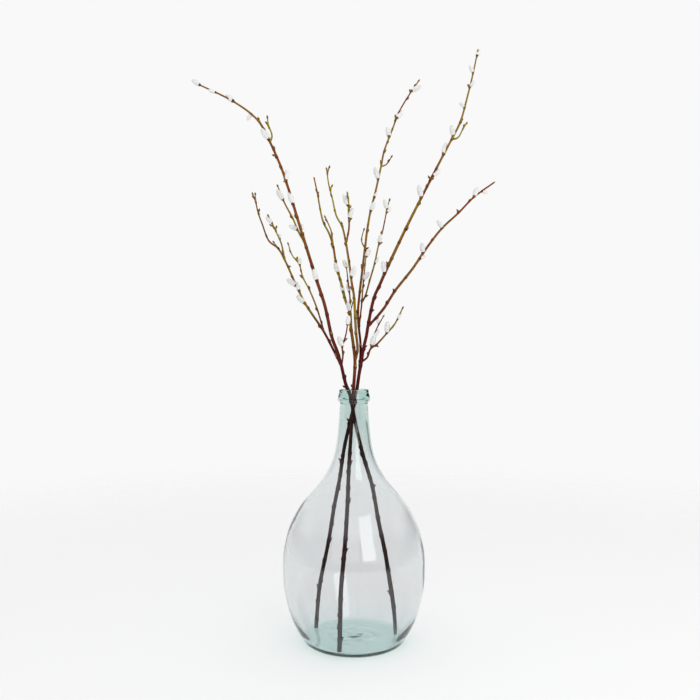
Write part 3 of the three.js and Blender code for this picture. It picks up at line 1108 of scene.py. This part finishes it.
MIDDLE = Spray("branch_middle", 23, [
    Stem(
        (4.4, 1.2),
        [
            (-28, -82, 3), (-27, -77, 56), (-25, -66, 119), (-18, -50, 196), (-13, -34, 275),
            (-10, -18, 341), (-6, -6, 405), (-2, -2, 465), (-1, 0, 501), (1, 0, 529), (2, 2, 558),
            (-2, 8, 594), (-6, 13, 623), (-8, 18, 653), (-18, 25, 682), (-26, 32, 715), (-36, 40, 751),
            (-43, 50, 794), (-51, 55, 819), (-64, 60, 846), (-76, 72, 905), (-84, 80, 943),
        ],
        [
            (0.026, 8, -3, 6), (0.049, -6, 4, 6), (0.198, 7, -2, 3), (0.294, 7, 2, 6), (0.37, 7, -4, 7),
            (0.52, -5, -2, 13), (0.681, -6, 4, 3), (0.834, -5, -2, 7), (0.954, 1, 4, 11),
        ],
        [(0.686, -4, -6, 22), (0.731, -5, 7, 18), (0.774, -8, -3, 23)],
        olive=0.7,
    ),
    Stem((1.4, 1), [(-43, 50, 794), (-47, 42, 824), (-52, 37, 836), (-61, 30, 854)]),
    Stem((1.3, 0.9), [(-8, 18, 653), (-3, 22, 672), (-1, 24, 679)]),
    Stem(
        (1.5, 1),
        [(-8, 18, 653), (-8, 14, 682), (-12, 6, 718), (-15, 0, 743)],
        catkins=[(0.476, -5, 5, 18), (1, -7, -8, 17)],
    ),
    Stem(
        (2.4, 1.1),
        [
            (2, 2, 558), (7, -4, 579), (4, -12, 613), (2, -16, 648), (0, -20, 684), (-5, -18, 714),
            (-10, -16, 752), (-16, -6, 791), (-24, 6, 827), (-35, 13, 848), (-44, 26, 887),
            (-51, 35, 915), (-57, 48, 956),
        ],
        [(0.348, -6, 4, 4), (0.663, -1, -2, 10), (0.87, 6, 2, 13), (0.961, 6, -4, 17)],
        [(0.403, 10, -4, 24)],
    ),
    Stem(
        (1.7, 1),
        [(-16, -6, 791), (-10, -18, 820), (-11, -29, 851), (-11, -37, 874), (-14, -42, 888)],
        [(0.451, 6, -2, 4), (0.654, 6, -4, 8)],
        [(0.492, 9, -5, 21), (0.722, -11, 8, 26)],
    ),
])

RIGHT = Spray("branch_right", 37, [
    Stem(
        (4.2, 1.2),
        [
            (-79, 34, 3), (-70, 31, 96), (-52, 26, 192), (-42, 22, 254), (-29, 16, 316), (-19, 10, 383),
            (-8, 9, 431), (0, 8, 464), (6, 9, 500), (10, 10, 528), (15, 12, 555), (19, 10, 581),
            (25, 8, 607), (28, 5, 626), (40, -4, 683), (51, -8, 708), (68, -14, 746), (102, -24, 818),
            (140, -32, 893), (171, -38, 953), (190, -40, 989), (207, -41, 1023), (221, -44, 1074),
            (232, -42, 1119), (242, -40, 1166),
        ],
        [
            (0.076, -7, -3, 8), (0.157, 8, 4, 4), (0.245, 7, -2, 8), (0.291, -8, 2, 8),
            (0.356, -6, -4, 11), (0.481, 8, 2, 8), (0.546, 8, 4, 1), (0.567, 6, -2, 2),
            (0.625, -4, 1, 7), (0.69, 5, -4, 1), (0.776, -5, -3, 9), (0.776, 8, 4, 5),
            (0.848, 4, -2, 7), (0.879, 6, 2, 8), (0.936, -5, -4, 4),
        ],
        [
            (0.611, -5, -3, 26), (0.69, 8, 5, 6), (0.745, -7, -8, 26), (0.783, 18, 4, 15),
            (0.821, 6, 8, 28), (0.854, -5, -5, 23), (0.903, -11, 2, 11), (0.936, 10, -7, 11),
            (0.96, -9, -6, 14), (0.988, 9, 7, 17),
        ],
        olive=0.5,
    ),
    Stem(
        (1.4, 0.9),
        [(190, -40, 989), (202, -42, 992), (211, -50, 1007), (219, -58, 1019)],
        [(0.669, 3, 4, 11)],
    ),
    Stem(
        (1.9, 1.1),
        [
            (15, 12, 555), (26, 6, 563), (33, -8, 581), (44, -14, 589), (64, -29, 611), (79, -41, 629),
            (95, -62, 663),
        ],
        [(0.34, 5, 2, -4)],
        [(0.564, 1, -7, 26), (0.811, 7, -6, 12)],
    ),
    Stem(
        (1.3, 0.9),
        [(33, -8, 581), (42, -10, 614), (60, -22, 649)],
        catkins=[(0.077, 8, -5, 25), (0.328, 12, 2, 16), (0.706, -4, 7, 10)],
    ),
    Stem(
        (2.6, 1.5),
        [
            (28, 5, 626), (45, 10, 644), (62, 16, 665), (83, 25, 698), (120, 38, 745), (150, 47, 789),
            (182, 56, 830), (218, 61, 864), (249, 66, 896), (296, 72, 931),
        ],
        [(0.224, -4, -2, 5), (0.75, -4, 2, 7)],
        [
            (0.437, 14, 5, 6), (0.469, -3, -3, 24), (0.635, -13, -8, 16), (0.863, 8, 4, 24),
            (0.915, 15, 8, -4),
        ],
        olive=0.4,
    ),
    Stem(
        (2.4, 1.2),
        [
            (10, 10, 528), (13, 15, 569), (13, 17, 594), (10, 20, 623), (8, 24, 652), (11, 30, 689),
            (16, 38, 732), (23, 48, 788), (27, 54, 822), (35, 62, 869), (45, 68, 908), (57, 76, 963),
            (64, 79, 997), (80, 84, 1040), (96, 88, 1082), (121, 90, 1124), (140, 92, 1152),
        ],
        [
            (0.341, -3, -4, 6), (0.399, 9, 2, 6), (0.692, -3, -2, 6), (0.732, 5, 1, 3),
            (0.841, -1, -3, 13), (0.948, -3, 4, 7),
        ],
        [
            (0.528, 9, -3, 21), (0.576, 8, 5, 15), (0.637, -9, -8, 27), (0.782, -5, 4, 25),
            (0.849, 15, 8, 20), (0.952, 23, -5, 11),
        ],
        olive=0.6,
    ),
    Stem((1.2, 0.9), [(23, 48, 788), (16, 52, 804), (22, 60, 833)]),
    Stem((1.2, 0.9), [(57, 76, 963), (68, 74, 967), (81, 65, 985)]),
    Stem(
        (1.6, 1),
        [(10, 20, 623), (14, 20, 656), (16, 19, 675), (18, 18, 706), (21, 15, 736), (24, 12, 766)],
        catkins=[(0.677, 12, -6, 18), (1, 10, 7, 18)],
    ),
    Stem(
        (1.6, 1),
        [
            (16, 19, 675), (23, 14, 688), (31, 8, 716), (41, 0, 751), (49, -8, 788), (57, -14, 816),
            (65, -22, 856), (71, -26, 878),
        ],
        [(0.071, 6, 4, 1), (0.572, 7, 1, 3)],
        [(0.389, 9, 2, 13), (0.578, 4, -7, 19), (0.863, 11, 7, 14), (0.897, -7, -6, 20)],
    ),
])


@dataclass
class Vase:
    """The hand-blown glass balloon vase, whose wall is thin at the belly and thick at its foot.

    Lengths are in millimetres, and body and collar are rows of (radius, height) on the outer side.
    foot_glass and neck_glass say how much thicker the wall is there, and over what share of the side.
    A wobble is its depth as a share of the radius, its lobes, where they start and how they turn
    with the height.
    """

    body: tuple[Pair, ...] = (
        (95, 0.15), (97.6, 1.4), (102, 6), (107, 14), (114.8, 28), (123, 45), (130, 65), (136.4, 90),
        (140.6, 115), (141.7, 145), (141, 175), (136.7, 200), (129.9, 225), (118, 250), (106.2, 270),
        (89.6, 290), (71.9, 310), (57.5, 330), (47.2, 350), (37.4, 380), (31.9, 420), (29.2, 448),
        (27.6, 470),
    )
    collar: tuple[Pair, ...] = (
        (28.4, 474), (31.6, 477), (32.6, 481), (31.5, 487), (29.6, 494),
    )
    rim_height: float = 500.0
    lip_radius: float = 1.9
    floor_top: float = 7.7
    floor_radius: float = 96.0
    heel_bend: Triple = (2.0, 0.0, 1.2)
    heel_width: float = 4.0
    heel_start: float = 0.4
    flat: float = 0.05
    punt_height: float = 1.6
    dome_height: float = 3.4
    dome_radius: float = 62.0
    segments: int = 160
    outer_points: int = 84
    inner_points: int = 60
    wobbles: tuple[tuple[float, int, float, float], ...] = (
        (0.0035, 2, 0.7, 0.006), (0.001225, 3, 2.1, -0.01),
    )
    swirl_depth: float = 0.8
    swirl_waves: Pair = (0.35, 0.30)
    swirl_lumps: Pair = (2.2, 38.0)
    bore_lean: float = 0.9
    bore_lean_heights: Pair = (300.0, 360.0)
    bore_waves: float = 0.9
    bore_wave_scale: Triple = (16.0, 16.0, 9.6)
    punt_radius: float = 80.0
    thinnest: float = 2.0
    foot_glass: Pair = (2.9, 0.09)
    neck_glass: Pair = (2.4, 0.2)
    inner_shares: Pair = (0.945, 0.055)
    collar_points: int = 14
    lip_points: int = 8
    heel_points: int = 8
    dome_points: int = 26
    base_points: int = 12

    def wall(self, share: float) -> float:
        """Returns the glass thickness at a share of the outer side, from foot to neck."""
        foot = self.foot_glass[0] * bell(share, self.foot_glass[1])
        neck = self.neck_glass[0] * bell(1 - share, self.neck_glass[1])
        return self.thinnest + foot + neck

    def profile(self) -> list[tuple[Vector, bool]]:
        """Returns the wall's outline in millimetres, from the axis below to the axis above the floor.

        Returns:
            The points, and for each whether it is on the inner side.
        """
        side = StemPath([Vector((r, 0, z)) for r, z in self.body])
        ring = StemPath([Vector((r, 0, z)) for r, z in (self.body[-1], *self.collar)])
        outer = [side.point(share) for share in shares(self.outer_points)]
        outer += [ring.point(share) for share in shares(self.collar_points)[1:]]
        lip_centre = Vector((self.collar[-1][0] - self.lip_radius, 0, self.rim_height - self.lip_radius))
        angles = [math.pi * share for share in shares(self.lip_points)]
        lip = [lip_centre + Vector((math.cos(a), 0, math.sin(a))) * self.lip_radius for a in angles]
        inner = []
        for share in (blend(*self.inner_shares, part) for part in shares(self.inner_points)):
            along = side.tangent(share)
            inner.append(side.point(share) + Vector((-along.z, 0, along.x)) * self.wall(share))
        bend = Vector((self.floor_radius, 0, self.floor_top)) + Vector(self.heel_bend)
        end = Vector((self.floor_radius - self.heel_width, 0, self.floor_top))
        turn = StemPath([*inner[-2:], bend, end])
        heel = [turn.point(blend(self.heel_start, 1.0, part)) for part in shares(self.heel_points)[1:]]
        radii = [self.floor_radius * (1 - share) for share in shares(self.dome_points)[2:]]
        dome = [Vector((radius, 0, self.floor_top)) for radius in radii]
        base = [Vector((self.body[0][0] * share, 0, 0)) for share in shares(self.base_points)[:-1]]
        outside = [(point, False) for point in base + outer + lip]
        return outside + [(point, True) for point in inner + heel + dome]

    def build(self, glass: Skin) -> bpy.types.Object:
        """Returns the vase as a piece."""
        shape = bmesh.new()
        bore = shape.verts.layers.float.new("bore")
        verts = []
        for place, is_inner in self.profile():
            verts.append(shape.verts.new(place * MM))
            verts[-1][bore] = is_inner
        edges = [shape.edges.new(pair) for pair in zip(verts, verts[1:])]
        bmesh.ops.spin(
            shape, geom=verts + edges, cent=(0, 0, 0), axis=(0, 0, 1), angle=math.tau,
            steps=self.segments, use_merge=True,
        )
        bmesh.ops.remove_doubles(shape, verts=shape.verts[:], dist=1e-6)
        bmesh.ops.recalc_face_normals(shape, faces=shape.faces[:])
        for vert in shape.verts:
            vert.co = self._blown(vert.co, vert[bore])
        shape.verts.layers.float.remove(bore)
        return piece("vase_blown", smoothed(shape), glass, "vase")

    def _blown(self, place: Vector, is_inner: float) -> Vector:
        """Returns a point of the turned vase moved as breath and the pontil left it."""
        radius, angle = math.hypot(place.x, place.y), math.atan2(place.y, place.x)
        height = place.z / MM
        slack = 1.0
        for depth, lobes, turn, climb in self.wobbles:
            slack -= depth * (1 + math.sin(lobes * angle + turn + height * climb)) / 2
        rise = 0.0
        reach = radius / MM
        if abs(height - self.floor_top) < self.flat and reach < self.floor_radius:
            share = min(reach / self.dome_radius, 1.0)
            rise = self.dome_height * hump(share)
            swirl = self.swirl_waves[0] * math.sin(reach * self.swirl_waves[1] + 2 * angle)
            swirl += self.swirl_lumps[0] * noise.noise(place * self.swirl_lumps[1])
            rise += self.swirl_depth * swirl * (1 - share) * share * 4
        elif height < self.flat and reach < self.punt_radius:
            rise = self.punt_height * hump(reach / self.punt_radius)
        low, high = self.bore_lean_heights
        lean = self.bore_lean * min(max((height - low) / (high - low), 0.0), 1.0)
        lean -= self.bore_waves * noise.noise(place * Vector(self.bore_wave_scale))
        aside = is_inner * lean * MM if height > self.floor_top * 2 else 0.0
        return Vector((place.x * slack - aside, place.y * slack, place.z + rise * MM))


@dataclass
class Studio:
    """The pale floor, the soft light, the bright surroundings and the camera.

    The flags are dark panels low at both sides, the shade is a dark front, and the pane is the
    bright window that the glass reflects. Each has its soft edges in the direction's x, y or z, and
    the left flag its strength after them.
    """

    floor_radius: float = 5.0
    floor_drop: float = 0.0004
    floor_tint: Tint = (0.93, 0.93, 0.93)
    fade: Pair = (0.9, 2.6)
    backdrop: Tint = (0.945, 0.945, 0.945)
    fill_left: Tint = (0.80, 0.80, 0.80)
    fill_right: Tint = (1.06, 1.06, 1.06)
    surround: Tint = (0.93, 0.93, 0.93)
    flag: Tint = (0.10, 0.10, 0.10)
    flag_right: Pair = (0.36, 0.72)
    flag_left: Triple = (-0.50, -0.85, 0.8)
    flag_foot: Pair = (-0.18, 0.10)
    flag_top: Pair = (0.42, 0.14)
    shade: Tint = (0.07, 0.07, 0.07)
    shade_front: Pair = (0.1, -0.35)
    shade_top: Pair = (0.75, 0.35)
    pane: Tint = (3.0, 3.0, 3.05)
    pane_slant: float = 0.2
    pane_front: Pair = (0.0, -0.1)
    pane_sides: tuple[float, float, float, float] = (0.25, 0.29, 0.58, 0.63)
    pane_heights: tuple[float, float, float, float] = (0.09, 0.12, 0.80, 0.84)
    camera_place: Triple = (-0.008, -1.58, 0.5786)
    lens: float = 40.63
    window_way: Triple = (0.333, -0.741, 0.586)
    window_distance: float = 2.5
    window_size: Pair = (1.1, 1.9)
    window_power: float = 11.0
    window_target: Triple = (0.0, 0.0, 0.26)

    def floor(self) -> None:
        """Makes the floor, which fades into the backdrop away from the vase."""
        shape = bmesh.new()
        bmesh.ops.create_circle(shape, cap_ends=True, segments=96, radius=self.floor_radius)
        bmesh.ops.translate(shape, verts=shape.verts[:], vec=(0, 0, -self.floor_drop))
        graph, material = Graph.of_material("studio_paper")
        place = graph.place()
        distance = graph.add("VectorMath", {0: place}, operation="LENGTH").outputs["Value"]
        paper = graph.add("BsdfPrincipled", {"Base Color": (*self.floor_tint, 1.0), "Roughness": 0.9})
        clear = graph.add("BsdfTransparent")
        graph.surface(graph.layered(graph.ranged(distance, *self.fade), paper, clear))
        mesh = meshed("studio_floor", shape)
        mesh.materials.append(material)
        linked("studio_floor", mesh)

    def surroundings(self) -> None:
        """Makes the bright room: an even backdrop, and darker sides that draw the edges of the glass."""
        world = bpy.data.worlds.new("studio_light")
        world.use_nodes = True
        bpy.context.scene.world = world
        graph = Graph(world.node_tree)
        way = graph.add("TexCoord").outputs["Generated"]
        x, y, z = graph.add("SeparateXYZ", {0: way}).outputs
        right = graph.ranged(x, *self.flag_right)
        left = graph.ranged(x, *self.flag_left)
        front = graph.times(graph.ranged(y, *self.shade_front), graph.ranged(z, *self.shade_top))
        level = graph.times(graph.ranged(z, *self.flag_foot), graph.ranged(z, *self.flag_top))
        flagged = graph.times(graph.plus(right, left), level)
        room = graph.mixed(front, self.surround, self.shade)
        room = graph.mixed(flagged, room, self.flag)
        pane = graph.ranged(y, *self.pane_front)
        aside = graph.plus(x, graph.times(z, self.pane_slant))
        for across, edges in ((aside, self.pane_sides), (z, self.pane_heights)):
            pane = graph.times(pane, graph.ranged(across, edges[0], edges[1]))
            pane = graph.times(pane, graph.ranged(across, edges[3], edges[2]))
        room = graph.mixed(pane, room, self.pane)
        path = graph.add("LightPath")
        fill = graph.mixed(graph.ranged(x, -1.0, 1.0), self.fill_left, self.fill_right)
        room = graph.mixed(path.outputs["Is Diffuse Ray"], room, fill)
        room = graph.mixed(path.outputs["Is Camera Ray"], room, self.backdrop)
        light = graph.add("Background", {"Color": room, "Strength": 1.0})
        graph.add("OutputWorld", {"Surface": light.outputs[0]})
        world.cycles.sampling_method = "NONE"

    def window(self) -> None:
        """Makes the large soft window light in front, above and to the right."""
        lamp = bpy.data.lights.new("window", "AREA")
        lamp.shape = "RECTANGLE"
        lamp.size, lamp.size_y = self.window_size
        lamp.energy = self.window_power
        target = Vector(self.window_target)
        window = linked("window", lamp)
        window.location = target + Vector(self.window_way).normalized() * self.window_distance
        window.rotation_mode = "QUATERNION"
        window.rotation_quaternion = (target - window.location).to_track_quat("-Z", "Y")
        window.visible_glossy = False
        window.visible_transmission = False

    def camera(self) -> None:
        """Makes the camera at the photograph's place: level, a little above the vase's mouth."""
        eye = bpy.data.cameras.new("camera")
        eye.lens = self.lens
        eye.sensor_width = 36.0
        camera = linked("camera", eye)
        camera.location = self.camera_place
        camera.rotation_euler = (math.pi / 2, 0, 0)
        bpy.context.scene.camera = camera

    def build(self) -> None:
        """Makes everything round the object."""
        self.camera()
        self.surroundings()
        self.floor()
        self.window()
        bpy.context.scene.view_settings.view_transform = "Standard"


def main() -> None:
    """Builds the studio, the vase and the three sprays."""
    logging.basicConfig(level=logging.INFO, format="%(message)s")
    Studio().build()
    vase = Vase()
    vase.build(GlassFinish().material())
    bark, skin, down = BarkFinish().material(), BudFinish().material(), DownFinish().material()
    for spray in (LEFT, MIDDLE, RIGHT):
        spray.build(vase.floor_top * MM, bark, skin, down)


if __name__ == "__main__":
    main()
